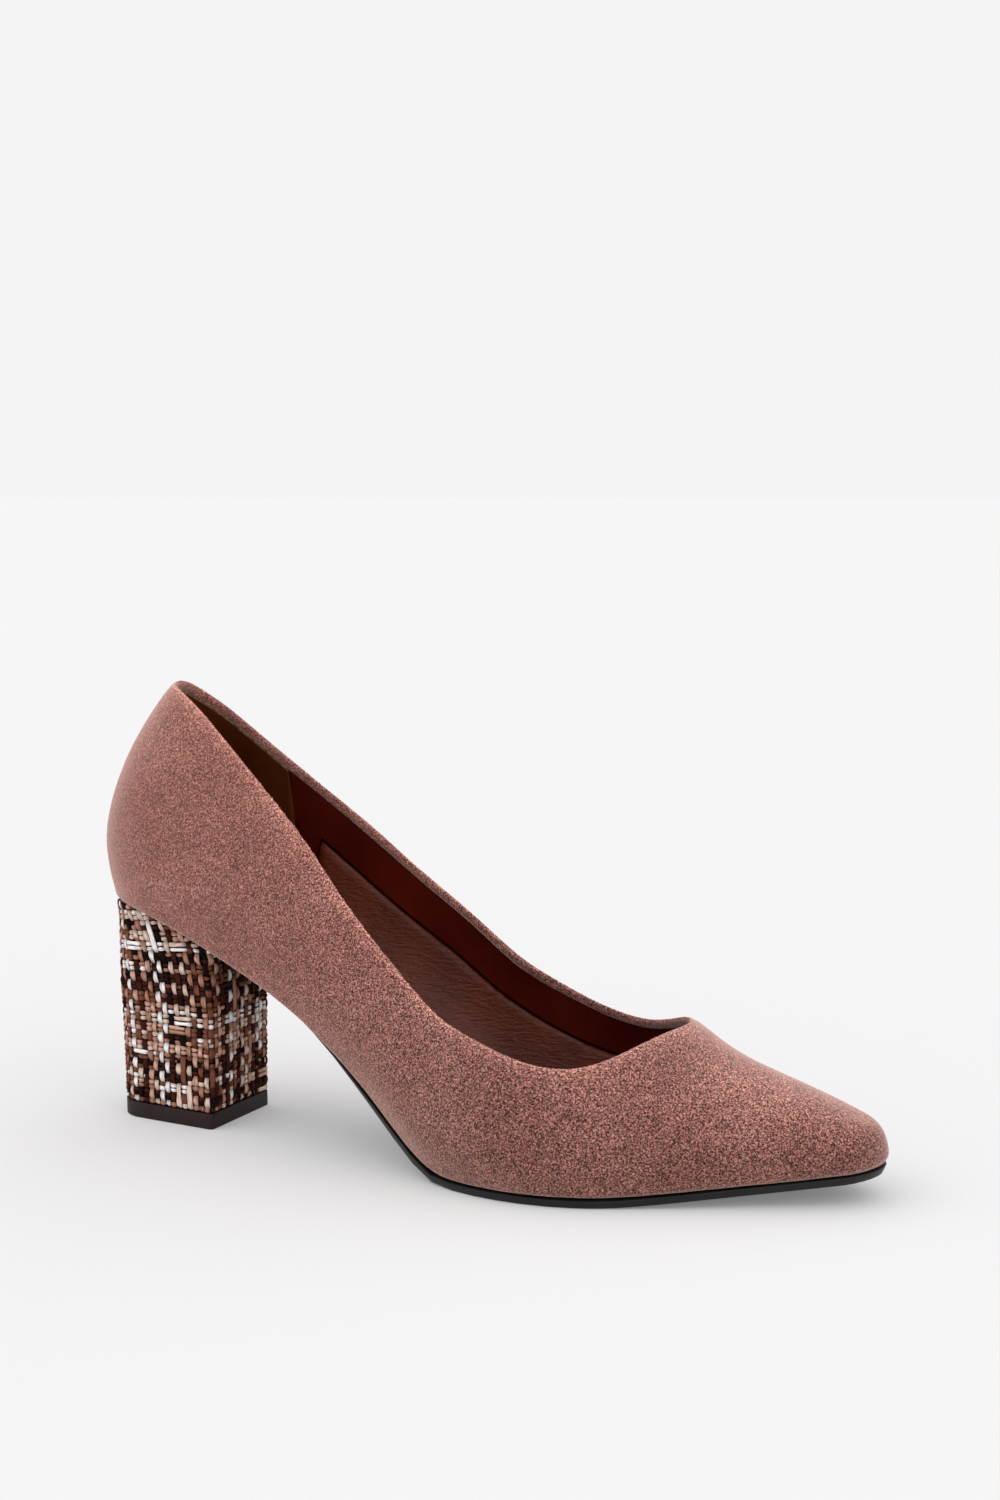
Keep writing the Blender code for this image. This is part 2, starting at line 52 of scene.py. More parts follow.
def fromHex(code):
    # an sRGB colour as a linear one
    linear = []
    for start in (0, 2, 4):
        share = int(code[start:start + 2], 16) / 255
        linear.append(share / 12.92 if share <= 0.04045 else ((share + 0.055) / 1.055) ** 2.4)
    return (*linear, 1.0)


def grey(level):
    return (level, level, level, 1.0)


def scaleFor(millimetres):
    # noise scale on Object coordinates: the spots of a noise lie about 1.38 of its cells apart
    return 1380.0 / millimetres


def addNode(tree, kind, values=None, links=None, **settings):
    node = tree.nodes.new(kind)
    for name, value in settings.items():
        setattr(node, name, value)
    for name, value in (values or {}).items():
        node.inputs[name].default_value = value
    for name, source in (links or {}).items():
        tree.links.new(source, node.inputs[name])
    return node


def setRamp(node, stops):
    ramp = node.color_ramp
    while len(ramp.elements) < len(stops):
        ramp.elements.new(1.0)
    for element, (place, colour) in zip(ramp.elements, stops):
        element.position = place
        element.color = fromHex(colour) if isinstance(colour, str) else colour
    return node


def newMaterial(name, evenValues):
    material = bpy.data.materials.new(name)
    material.use_nodes = True
    tree = material.node_tree
    shader = tree.nodes["Principled BSDF"]
    for socket, value in evenValues.items():
        shader.inputs[socket].default_value = value
    return material, tree, shader


def shadeBy(tree, colour, shades):
    # multiplies a colour by one ramp after another; each has its source, its stops and its strength
    for source, stops, strength in shades:
        shade = setRamp(addNode(tree, "ShaderNodeValToRGB", links={"Fac": source}), stops)
        mix = addNode(
            tree,
            "ShaderNodeMix",
            {0: 1.0},
            {6: colour, 7: shade.outputs["Color"]},
            data_type="RGBA",
            blend_type="MULTIPLY",
        )
        if strength is not None:
            tree.links.new(strength, mix.inputs[0])
        colour = mix.outputs[2]
    return colour


def makeTwoTone(name, look):
    # two near tones in clouds, and a fine relief where the look has a grain; sizes in mm
    material, tree, shader = newMaterial(
        name, {"Roughness": look["roughness"], "Specular IOR Level": look["specular"]}
    )
    coords = addNode(tree, "ShaderNodeTexCoord").outputs["Object"]
    cloud = addNode(
        tree,
        "ShaderNodeTexNoise",
        {"Scale": scaleFor(look["cloudSize"]), "Detail": look.get("cloudDetail", 2.0)},
        {"Vector": coords},
    )
    tone = setRamp(addNode(tree, "ShaderNodeValToRGB", links={"Fac": cloud.outputs["Fac"]}), look["tones"])
    tree.links.new(tone.outputs["Color"], shader.inputs["Base Color"])
    if "grainSize" in look:
        stretched = addNode(
            tree, "ShaderNodeMapping", {"Scale": look.get("stretch", (1.0, 1.0, 1.0))}, {"Vector": coords}
        )
        grain = addNode(
            tree,
            "ShaderNodeTexNoise",
            {
                "Scale": scaleFor(look["grainSize"]),
                "Detail": look.get("grainDetail", 2.0),
                "Distortion": look.get("twist", 0.0),
            },
            {"Vector": stretched.outputs["Vector"]},
        )
        bump = addNode(
            tree,
            "ShaderNodeBump",
            {"Strength": look["relief"], "Distance": look["reliefDepth"]},
            {"Height": grain.outputs["Fac"]},
        )
        tree.links.new(bump.outputs["Normal"], shader.inputs["Normal"])
    return material


def mergedCopy(nodeName):
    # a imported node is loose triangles: its corners are merged and its flat pairs joined first
    shape = bmesh.new()
    shape.from_mesh(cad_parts[nodeName].data)
    bmesh.ops.remove_doubles(shape, verts=shape.verts[:], dist=1e-6)
    bmesh.ops.join_triangles(
        shape,
        faces=shape.faces[:],
        angle_face_threshold=math.radians(40),
        angle_shape_threshold=math.radians(60),
    )
    return shape


def smoothedCopy(shape, levels):
    # takes the smoothed faces of a Subdivision Surface into a new bmesh
    mesh = bpy.data.meshes.new("scratch")
    shape.to_mesh(mesh)
    shape.free()
    holder = bpy.data.objects.new("scratch", mesh)
    bpy.context.collection.objects.link(holder)
    smoother = holder.modifiers.new("smooth", "SUBSURF")
    smoother.levels = levels
    smoother.render_levels = levels
    result = bmesh.new()
    result.from_object(holder, bpy.context.evaluated_depsgraph_get())
    bpy.data.objects.remove(holder)
    bpy.data.meshes.remove(mesh)
    return result


def makePiece(name, shape, materials, standsFor=()):
    mesh = bpy.data.meshes.new(name)
    shape.to_mesh(mesh)
    shape.free()
    for material in materials:
        mesh.materials.append(material)
    mesh.shade_smooth()
    piece = bpy.data.objects.new(name, mesh)
    bpy.context.collection.objects.link(piece)
    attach(piece, "root")
    if standsFor:
        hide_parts(*standsFor)
    print(name, len(mesh.polygons), "faces")


# Camera, light and floor

studio = {
    "lens": 54.43,
    "sensorWidth": 36.0,
    "shiftY": 0.1167,
    "nearClip": 0.01,
    "cameraPlace": (0.3695, -0.5575, 0.1843),
    "cameraLooksAt": (0.1036, 0.0, 0.0654),
    "wallColour": "f4f4f4",
    "roomLight": 0.42,  # light that comes evenly from all sides
    "lights": {  # far, very large and soft: place, strength and spread in degrees
        "overheadLight": ((0.35, 0.0, 1.0), 2.25, 150.0),  # from above, a little to the toe's side
        "leftLight": ((-1.0, -0.7, 0.45), 1.05, 80.0),
        "rightLight": ((1.0, -0.55, 0.45), 0.75, 80.0),  # fills the front of the heel and the toe
    },
    "floorColour": "cac9ca",
    "floorGlow": 0.15,  # the paper lies on a light table that glows faintly through it
    "floorHalf": 40.0,
    "floorUnder": 0.0001,  # below the shoe, so that the two faces don't flicker
}


def aimAt(thing, place, target):
    turn = (Vector(target) - Vector(place)).to_track_quat("-Z", "Y")
    thing.matrix_world = Matrix.Translation(place) @ turn.to_matrix().to_4x4()


def setCamera():
    lensData = bpy.data.cameras.new("photoCamera")
    lensData.lens = studio["lens"]
    lensData.sensor_width = studio["sensorWidth"]
    lensData.shift_y = studio["shiftY"]
    lensData.clip_start = studio["nearClip"]
    camera = bpy.data.objects.new("photoCamera", lensData)
    bpy.context.collection.objects.link(camera)
    aimAt(camera, studio["cameraPlace"], studio["cameraLooksAt"])
    bpy.context.scene.camera = camera


def setRoom():
    # the camera sees the pale wall, and the shoe is lit by a dimmer one
    bpy.context.scene.view_settings.view_transform = "Standard"
    world = bpy.data.worlds.new("whiteRoom")
    bpy.context.scene.world = world
    world.use_nodes = True
    room = world.node_tree
    wall = room.nodes["Background"]
    wall.inputs["Color"].default_value = fromHex(studio["wallColour"])
    wall.inputs["Strength"].default_value = 1.0
    seen = addNode(room, "ShaderNodeLightPath")
    dim = addNode(room, "ShaderNodeBackground", {"Color": grey(1.0), "Strength": studio["roomLight"]})
    choice = addNode(
        room,
        "ShaderNodeMixShader",
        links={0: seen.outputs["Is Camera Ray"], 1: dim.outputs[0], 2: wall.outputs[0]},
    )
    room.links.new(choice.outputs[0], room.nodes["World Output"].inputs["Surface"])
    for name, (place, strength, spread) in studio["lights"].items():
        lampData = bpy.data.lights.new(name, "SUN")
        lampData.energy = strength
        lampData.angle = math.radians(spread)
        lamp = bpy.data.objects.new(name, lampData)
        bpy.context.collection.objects.link(lamp)
        aimAt(lamp, place, (0.0, 0.0, 0.0))


def layFloor():
    # uncoated backdrop paper: plain, matte and without gloss
    paper = newMaterial(
        "backdropPaper",
        {
            "Base Color": fromHex(studio["floorColour"]),
            "Emission Color": grey(1.0),
            "Emission Strength": studio["floorGlow"],
            "Roughness": 1.0,
            "Specular IOR Level": 0.0,
        },
    )[0]
    shape = bmesh.new()
    bmesh.ops.create_grid(shape, x_segments=1, y_segments=1, size=studio["floorHalf"])
    bmesh.ops.translate(shape, verts=shape.verts[:], vec=(0, 0, -studio["floorUnder"]))
    mesh = bpy.data.meshes.new("floor")
    shape.to_mesh(mesh)
    shape.free()
    mesh.materials.append(paper)
    floor = bpy.data.objects.new("floor", mesh)
    bpy.context.collection.objects.link(floor)


setCamera()
setRoom()
layFloor()
print("studio ready")


# Upper: suede outside, its edge folded in over the lining

suedeLook = {
    "napSize": 30.67,  # mm between the clouds where the nap lies another way
    "napTones": ((0.30, "8a5b52"), (0.52, "936359"), (0.72, "9e6d63")),
    "fleckSize": 0.6,  # mm between the pits
    "fleckShades": (
        (0.38, (0.13, 0.09, 0.09, 1.0)),
        (0.46, (0.52, 0.47, 0.47, 1.0)),
        (0.54, grey(1.02)),
        (0.64, grey(2.4)),
    ),
    # from the first x to the second: the flecks are shallower at the counter, drawn tight
    "fleckDepth": {"From Min": -0.010, "From Max": 0.090, "To Min": 0.62, "To Max": 1.0},
    "paintedTopLightShades": (  # painted light: lighter where a face looks up, darker on the sides, as if lit from above
        (0.10, grey(0.90)),
        (0.45, grey(1.0)),
        (0.85, (1.38, 1.42, 1.42, 1.0)),
    ),
    "alongShades": ((0.055, (0.92, 0.91, 0.91, 1.0)), (0.105, (0.74, 0.75, 0.76, 1.0))),  # by x
    "paintedEdgeSheenShades": ((0.0004, grey(1.45)), (0.0016, grey(1.0))),  # painted sheen: lighter within about 1.6 mm of the folded edge, by distance from it
    "relief": {"Strength": 0.8, "Distance": 0.0003},
    "evenValues": {
        "Roughness": 0.95,
        "Specular IOR Level": 0.15,
        "Sheen Weight": 1.0,
        "Sheen Roughness": 0.4,
        "Sheen Tint": fromHex("ffd9cf"),
    },
}

upperValues = {
    "smoothing": 2,
    "turnedIn": 0.0028,  # suede folded over the top edge, down the inside
    "foldStep": 0.0001,  # length over which the fold's cut edge drops to the lining
    "unevenness": 0.00018,  # hand-lasted suede is never quite even
    "bulges": ((45.0, 1.0), (160.0, 0.4)),  # how many to a metre, and the share of each
    "crestFall": (0.0008, 0.00125),  # length of the edges that fall away from the solid's crest
    "crestTurn": 100.0,  # degrees between the two, at least
    "crestDrop": 0.0004,
    "crestNear": 0.004,
    "crestSteps": 6,
    "marginTurn": 40.0,  # degrees at the rim of the turned-under margin
    "marginBelow": 0.070,
}

fibreValues = {
    "seed": 5,
    "gap": 0.00022,
    "length": 0.00055,
    "lengthShares": (0.6, 1.2),
    "width": 0.00026,
    "tipShare": 0.4,
    "lean": (0.7, 0.7, 0.5),
    "standing": (-0.1, 0.12),  # share of its length that a fibre's middle stands out of the fold
}

liningValues = {
    "sunk": 0.00025,  # under the face of the fold
    "thick": 0.0005,
    "play": 0.0001,  # air between the lining and the suede
    "piping": 0.0007,  # pale cut edge of the heel lining that shows under the fold
    "seamPlace": (0.0250, 0.0, 0.08),  # where the heel lining meets the vamp lining
    "seamFacing": (1.0, 0.0, -0.05),
    "heelProud": 0.0003,  # the heel lining lies over the vamp lining
    "groove": 0.0009,  # width of the strip of painted shade in the groove above the sock's edge
    # coated synthetic lining, embossed like pigskin: dark, half gloss, fine pores about 1.1 mm apart
    "vampLook": {
        "tones": ((0.35, "470c05"), (0.70, "571508")),
        "cloudSize": 23.0,
        "cloudDetail": 3.0,
        "grainSize": 1.15,
        "relief": 0.25,
        "reliefDepth": 0.0001,
        "roughness": 0.7,
        "specular": 0.08,
    },
    "heelTones": ((0.35, "4d1f0b"), (0.70, "5c2a10")),
    # cut edge of the lining with its woven backing: pale khaki, dull and threadlike
    "pipingLook": {
        "tones": ((0.35, "5a432e"), (0.65, "94785a")),
        "cloudSize": 1.5333,
        "roughness": 0.9,
        "specular": 0.1,
    },
    # painted shade: a nearly black, dull strip where the groove between the lining and the sock lies in
    # shadow, the only dark line inside
    "paintedGrooveShadeLook": {
        "tones": ((0.35, "120302"), (0.65, "230805")),
        "cloudSize": 3.45,
        "roughness": 0.9,
        "specular": 0.05,
    },
}

sockValues = {
    "line": 0.0160,  # the padded sock is turned up the walls to this far below the top edge
    "diveFrom": 0.034,  # behind this x its line goes down to the insole, before the heel lining
    "diveSlope": 3.0,
    "rim": 0.0012,  # height of its rolled edge
    "tucked": 0.3,  # share of its thickness that the top of the edge is tucked into the lining
    "lean": 0.36,  # it leans inward below its edge
    "reach": 0.022,  # for this far
    "thick": 0.0008,
    "endX": 0.158,  # where it ends under the vamp
    "fade": 0.03,  # over this length it stops leaning in
    "overhang": -0.55,  # faces that look down more than this aren't covered
    "cutNear": 0.0001,
    # coated insole sock, embossed: brown, half gloss, with short fine creases across the foot
    "look": {
        "tones": ((0.30, "481706"), (0.70, "5e240c")),
        "cloudSize": 27.6,
        "cloudDetail": 4.0,
        "grainSize": 1.5333,
        "grainDetail": 4.0,
        "twist": 0.6,
        "stretch": (0.4, 0.4, 1.3),
        "relief": 0.9,
        "reliefDepth": 0.0005,
        "roughness": 0.45,
        "specular": 0.3,
    },
}


def makeSuede():
    # microfibre suede, brushed: dull, dusty pink, with pits and raised fibre tips about 0.6 mm apart
    # that read as dark and light flecks, clouds where the nap lies another way, and a pale sheen; painted
    # light lightens the faces that look up and painted sheen the folded edge
    look = suedeLook
    material, tree, shader = newMaterial("brushedMicrofibreSuede", look["evenValues"])
    coords = addNode(tree, "ShaderNodeTexCoord").outputs["Object"]
    nap = addNode(
        tree, "ShaderNodeTexNoise", {"Scale": scaleFor(look["napSize"]), "Detail": 3.0}, {"Vector": coords}
    )
    flecks = addNode(
        tree,
        "ShaderNodeTexNoise",
        {"Scale": scaleFor(look["fleckSize"]), "Detail": 2.0, "Distortion": 0.8},
        {"Vector": coords},
    ).outputs["Fac"]
    along = addNode(tree, "ShaderNodeSeparateXYZ", links={0: coords}).outputs["X"]
    depth = addNode(tree, "ShaderNodeMapRange", look["fleckDepth"], {"Value": along}).outputs["Result"]
    facing = addNode(tree, "ShaderNodeNewGeometry").outputs["Normal"]
    upward = addNode(tree, "ShaderNodeSeparateXYZ", links={0: facing}).outputs["Z"]
    fromEdge = addNode(tree, "ShaderNodeAttribute", attribute_name="fromCrest").outputs["Fac"]
    tone = setRamp(addNode(tree, "ShaderNodeValToRGB", links={"Fac": nap.outputs["Fac"]}), look["napTones"])
    colour = shadeBy(tree, tone.outputs["Color"], (
        (flecks, look["fleckShades"], depth),
        # painted light: faces that look up are lightened and the sides darkened
        (upward, look["paintedTopLightShades"], None),
        (along, look["alongShades"], None),
        # painted sheen: the suede is lightened near its folded edge
        (fromEdge, look["paintedEdgeSheenShades"], None),
    ))
    bump = addNode(tree, "ShaderNodeBump", look["relief"], {"Height": flecks})
    tree.links.new(colour, shader.inputs["Base Color"])
    tree.links.new(bump.outputs["Normal"], shader.inputs["Normal"])
    return material


def findCrest(shape):
    # the crest of the top edge: corners with a short edge falling away to each side
    values = upperValues
    shortest, longest = values["crestFall"]
    crest = set()
    for vert in shape.verts:
        falls = [edge.other_vert(vert).co - vert.co for edge in vert.link_edges]
        falls = [fall for fall in falls if shortest < fall.length < longest]
        for k, fall in enumerate(falls):
            for other in falls[:k]:
                both = fall + other
                opposite = fall.angle(other) > math.radians(values["crestTurn"])
                if opposite and both.length > values["crestDrop"] and both.z < 0:
                    crest.add(vert)
    return {edge for edge in shape.edges if edge.verts[0] in crest and edge.verts[1] in crest}


def joinedFaces(start, among, barrier=()):
    # the faces joined to one face across edges that aren't a barrier
    group = {start}
    waiting = [start]
    while waiting:
        for edge in waiting.pop().edges:
            if edge in barrier:
                continue
            for face in edge.link_faces:
                if face in among and face not in group:
                    group.add(face)
                    waiting.append(face)
    return group


def markInside(shape):
    # faces inside the crest and the turned-under margin get material 1; gives points along the top edge
    crest = findCrest(shape)
    margin = {
        edge for edge in shape.edges
        if edge.calc_face_angle(0) > math.radians(upperValues["marginTurn"])
        and max(v.co.z for v in edge.verts) < upperValues["marginBelow"]
    }
    unseen = set(shape.faces)
    start = min(shape.faces, key=lambda face: face.calc_center_median().x)
    unseen -= joinedFaces(start, unseen, crest | margin)
    inside = set()  # the largest group left; smaller ones are shut in on the outside and belong to it
    while unseen:
        group = joinedFaces(next(iter(unseen)), unseen)
        unseen -= group
        if len(group) > len(inside):
            inside = group
    for face in shape.faces:
        face.material_index = 1 if face in inside else 0
    top = {edge for edge in crest if any(face in inside for face in edge.link_faces)}
    return [vert.co.copy() for edge in top for vert in edge.verts]


def pointTree(points):
    tree = KDTree(len(points))
    for k, point in enumerate(points):
        tree.insert(point, k)
    tree.balance()
    return tree


def topEdges(shape, topTree):
    # the edges along the top, between the outside and the inside
    return [
        edge for edge in shape.edges
        if len({face.material_index for face in edge.link_faces}) == 2
        and topTree.find(edge.verts[0].co)[2] < upperValues["crestNear"]
    ]


def makeRimFibres(edges):
    # short raised fibres that blur the folded edge
    values = fibreValues
    rng = random.Random(values["seed"])
    fibres = bmesh.new()
    for edge in edges:
        first, second = edge.verts
        count = max(1, round(edge.calc_length() / values["gap"]))
        for k in range(count):
            share = (k + rng.random()) / count
            lean = Vector([rng.gauss(0.0, most) for most in values["lean"]])
            outward = (first.normal.lerp(second.normal, share) + lean).normalized()
            standing = rng.uniform(*values["standing"]) * values["length"]
            place = first.co.lerp(second.co, share) + outward * standing
            bmesh.ops.create_cone(
                fibres,
                cap_ends=True,
                cap_tris=False,
                segments=4,
                radius1=0.5 * values["width"],
                radius2=0.5 * values["tipShare"] * values["width"],
                depth=values["length"] * rng.uniform(*values["lengthShares"]),
                matrix=Matrix.Translation(place) @ outward.to_track_quat("Z", "Y").to_matrix().to_4x4(),
            )
    # the fibres carry no fromCrest, so the suede's painted edge sheen lightens them all
    makePiece("rimFibres", fibres, [suede])


def cutAlong(shape, level, layer, near=2e-5):
    # cuts the inside along the line that runs at one distance; corners near the line are taken onto it
    made = []
    for vert in shape.verts:
        if abs(vert[layer] - level) <= near and all(face.material_index == 1 for face in vert.link_faces):
            vert[layer] = level
            made.append(vert)
    for edge in shape.edges[:]:
        if any(face.material_index == 0 for face in edge.link_faces):
            continue
        first, second = edge.verts
        gap = first[layer] - level, second[layer] - level
        if gap[0] * gap[1] < 0 and min(abs(gap[0]), abs(gap[1])) > near:
            made.append(bmesh.utils.edge_split(edge, first, gap[0] / (gap[0] - gap[1]))[1])
            made[-1][layer] = level
    bmesh.ops.connect_verts(shape, verts=made)


def facesBelow(shape, layer, level, near=2e-5):
    return [
        face for face in shape.faces
        if face.material_index == 1 and min(vert[layer] for vert in face.verts) > level - near
    ]


def makeUpper():
    # makes the suede and gives back the sheet that the linings are cut from
    values = upperValues
    shape = mergedCopy("upper")
    topTree = pointTree(markInside(shape))
    shape = smoothedCopy(shape, values["smoothing"])
    steps = values["crestSteps"]
    crestTree = pointTree([
        edge.verts[0].co.lerp(edge.verts[1].co, k / steps)
        for edge in topEdges(shape, topTree) for k in range(steps)
    ])
    layer = shape.verts.layers.float.new("fromCrest")
    for vert in shape.verts:
        vert[layer] = crestTree.find(vert.co)[2]
    fold = values["turnedIn"]
    for further in (0.0, values["foldStep"], liningValues["piping"]):
        cutAlong(shape, fold + further, layer)
    shape.normal_update()
    lining = shape.copy()
    keep = set(facesBelow(lining, lining.verts.layers.float["fromCrest"], fold))
    bmesh.ops.delete(lining, geom=[face for face in lining.faces if face not in keep], context="FACES")
    # the suede's own inner face steps back to make room for the lining
    room = liningValues["sunk"] + liningValues["thick"] + liningValues["play"]
    inner = {vert for face in facesBelow(shape, layer, fold) for vert in face.verts}
    for vert in inner:
        if vert[layer] > fold + 2e-5:
            vert.co -= room * vert.normal
    for vert in shape.verts:
        drift = sum(share * noise.noise(vert.co * count) for count, share in values["bulges"])
        vert.co += values["unevenness"] * drift * vert.normal
    makeRimFibres(topEdges(shape, topTree))
    makePiece("upperSuede", shape, [suede, suede], ["upper"])
    return lining


def makeLinings(lining):
    values, sock = liningValues, sockValues
    lining.verts.layers.float.new("fromLine")
    crestLayer = lining.verts.layers.float["fromCrest"]
    lineLayer = lining.verts.layers.float["fromLine"]
    for vert in lining.verts:
        vert.co -= values["sunk"] * vert.normal
        dive = sock["diveSlope"] * max(0.0, sock["diveFrom"] - vert.co.x)
        vert[lineLayer] = vert[crestLayer] - sock["line"] - dive
    cutAlong(lining, -values["groove"], lineLayer, sock["cutNear"])
    cutAlong(lining, 0.0, lineLayer, sock["cutNear"])
    lining.normal_update()
    pipingEnd = upperValues["turnedIn"] + values["piping"] + 2e-5
    for name, material, isHeel in (("vampLining", vampLining, False), ("heelLining", heelLining, True)):
        part = lining.copy()
        crestLayer = part.verts.layers.float["fromCrest"]
        lineLayer = part.verts.layers.float["fromLine"]
        if isHeel:
            for vert in part.verts:
                vert.co += values["heelProud"] * vert.normal
        bmesh.ops.bisect_plane(
            part,
            geom=part.verts[:] + part.edges[:] + part.faces[:],
            plane_co=values["seamPlace"],
            plane_no=values["seamFacing"],
            clear_inner=not isHeel,
            clear_outer=isHeel,
        )
        for face in part.faces:
            places = [vert[lineLayer] for vert in face.verts]
            face.material_index = 0
            if isHeel and max(vert[crestLayer] for vert in face.verts) < pipingEnd:
                face.material_index = 1
            # the strip in the groove above the sock's edge gets the painted shade
            elif not isHeel and min(places) > -values["groove"] - 1e-6 and max(places) < 1e-6:
                face.material_index = 2
        bmesh.ops.solidify(part, geom=part.faces[:], thickness=values["thick"])
        makePiece(name, part, [material, piping, groove])


def thicken(sheet, thickness):
    # gives an open sheet a back and a rim; the back lies straight behind each corner
    made = bmesh.ops.extrude_face_region(sheet, geom=sheet.faces[:], use_keep_orig=True)["geom"]
    for item in made:
        if isinstance(item, bmesh.types.BMVert):
            item.co -= thickness * item.normal
    bmesh.ops.recalc_face_normals(sheet, faces=sheet.faces[:])


def makeSockSides(sides):
    # from the line down, both walls are covered by the sock's own leather, which slopes in to the insole
    values = sockValues
    layer = sides.verts.layers.float["fromLine"]
    cutAlong(sides, values["rim"], layer, values["cutNear"])
    sides.normal_update()
    away = [
        face for face in sides.faces
        if min(vert[layer] for vert in face.verts) < -1e-6
        or face.normal.z < values["overhang"]
        or face.calc_center_median().x > values["endX"]
    ]
    bmesh.ops.delete(sides, geom=away, context="FACES")
    moves = {}
    for vert in sides.verts:
        fade = min(1.0, max(0.0, (values["endX"] - vert.co.x) / values["fade"]))
        inward = Vector((vert.normal.x, vert.normal.y, 0.0)).normalized()
        past = vert[layer] - values["rim"]
        out = min(1.0, vert[layer] / values["rim"])
        step = values["thick"] * ((1.0 + values["tucked"]) * out - values["tucked"])
        step += fade * values["lean"] * min(max(0.0, past), values["reach"])
        moves[vert] = step * inward
    for vert, move in moves.items():
        vert.co += move
    bmesh.ops.smooth_vert(
        sides,
        verts=[vert for vert in sides.verts if not vert.is_boundary],
        factor=0.5,
        use_axis_x=True,
        use_axis_y=True,
        use_axis_z=True,
    )
    sides.normal_update()
    thicken(sides, values["thick"])
    makePiece("sockSides", sides, [insoleLeather])


suede = makeSuede()
vampLining = makeTwoTone("mahoganyLining", liningValues["vampLook"])
heelLining = makeTwoTone(
    "darkBrownHeelLining", {**liningValues["vampLook"], "tones": liningValues["heelTones"]}
)
piping = makeTwoTone("liningCutEdge", liningValues["pipingLook"])
# painted shade for the groove above the sock's edge
groove = makeTwoTone("paintedGrooveShadeStrip", liningValues["paintedGrooveShadeLook"])
insoleLeather = makeTwoTone("brownInsoleSock", sockValues["look"])
liningSheet = makeUpper()
makeLinings(liningSheet)
makeSockSides(liningSheet)
print("upper and lining ready")


# Insole, outsole and top piece

insoleValues = {"node": "insole", "edge": 0.0005, "smoothing": 2}

# moulded rubber: nearly black and matte, with a fine moulded grain
outsoleValues = {
    "node": "outsole",
    "edge": 0.0003,
    "smoothing": 0,
    "look": {
        "tones": ((0.30, "131212"), (0.70, "1b191a")),
        "cloudSize": 9.2,
        "cloudDetail": 4.0,
        "grainSize": 1.5333,
        "relief": 0.25,
        "reliefDepth": 0.0001,
        "roughness": 0.42,
        "specular": 0.25,
    },
}

# harder rubber of the walking surface: browner and duller, with a finer grain
topPieceValues = {
    "node": "top_piece",
    "edge": 0.0003,
    "smoothing": 0,
    "look": {
        **outsoleValues["look"],
        "tones": ((0.30, "1c0e0d"), (0.70, "261413")),
        "grainSize": 1.15,
        "roughness": 0.6,
    },
}


def makeSole(name, values, material, sharpAngle=40.0):
    # a solid's own shape with its sharp edges rounded
    shape = mergedCopy(values["node"])
    bmesh.ops.bevel(
        shape,
        geom=[edge for edge in shape.edges if edge.calc_face_angle(0) > math.radians(sharpAngle)],
        offset=values["edge"],
        offset_type="OFFSET",
        affect="EDGES",
        segments=2,
        profile=0.5,
        material=-1,
        clamp_overlap=True,
    )
    if values["smoothing"]:
        shape = smoothedCopy(shape, values["smoothing"])
    makePiece(name, shape, [material], [values["node"]])


makeSole("insoleSock", insoleValues, insoleLeather)
makeSole("outsoleRubber", outsoleValues, makeTwoTone("blackSoleRubber", outsoleValues["look"]))
makeSole("heelTopPiece", topPieceValues, makeTwoTone("brownTopPieceRubber", topPieceValues["look"]))
print("insole, outsole and top piece ready")


# Heel cover: a plain weave of flat boucle yarns over the block

coreValues = {
    "sunk": 0.0020,  # under the block's outline
    # the block under the cloth, seen only between the yarns: nearly black, painted shade for the dark gaps
    # between them
    "look": {
        "tones": ((0.35, "080505"), (0.65, "120b0b")),
        "cloudSize": 0.92,
        "roughness": 0.95,
        "specular": 0.05,
    },
}

yarnLook = {
    "fibreSize": 0.46,  # mm between fibres, coarser than real ones so that they show
    "fibreStretch": (1.0, 0.12, 1.0),
    "fibreShades": ((0.32, (0.55, 0.52, 0.52, 1.0)), (0.55, grey(1.0)), (0.75, grey(1.15))),
    "paintedSideShades": ((0.74, grey(1.0)), (0.97, (0.10, 0.06, 0.06, 1.0))),  # painted shade: each yarn darkened at its sides, between two yarns
    "relief": {"Strength": 0.6, "Distance": 0.00015},
    "evenValues": {"Roughness": 0.9, "Specular IOR Level": 0.06},
}

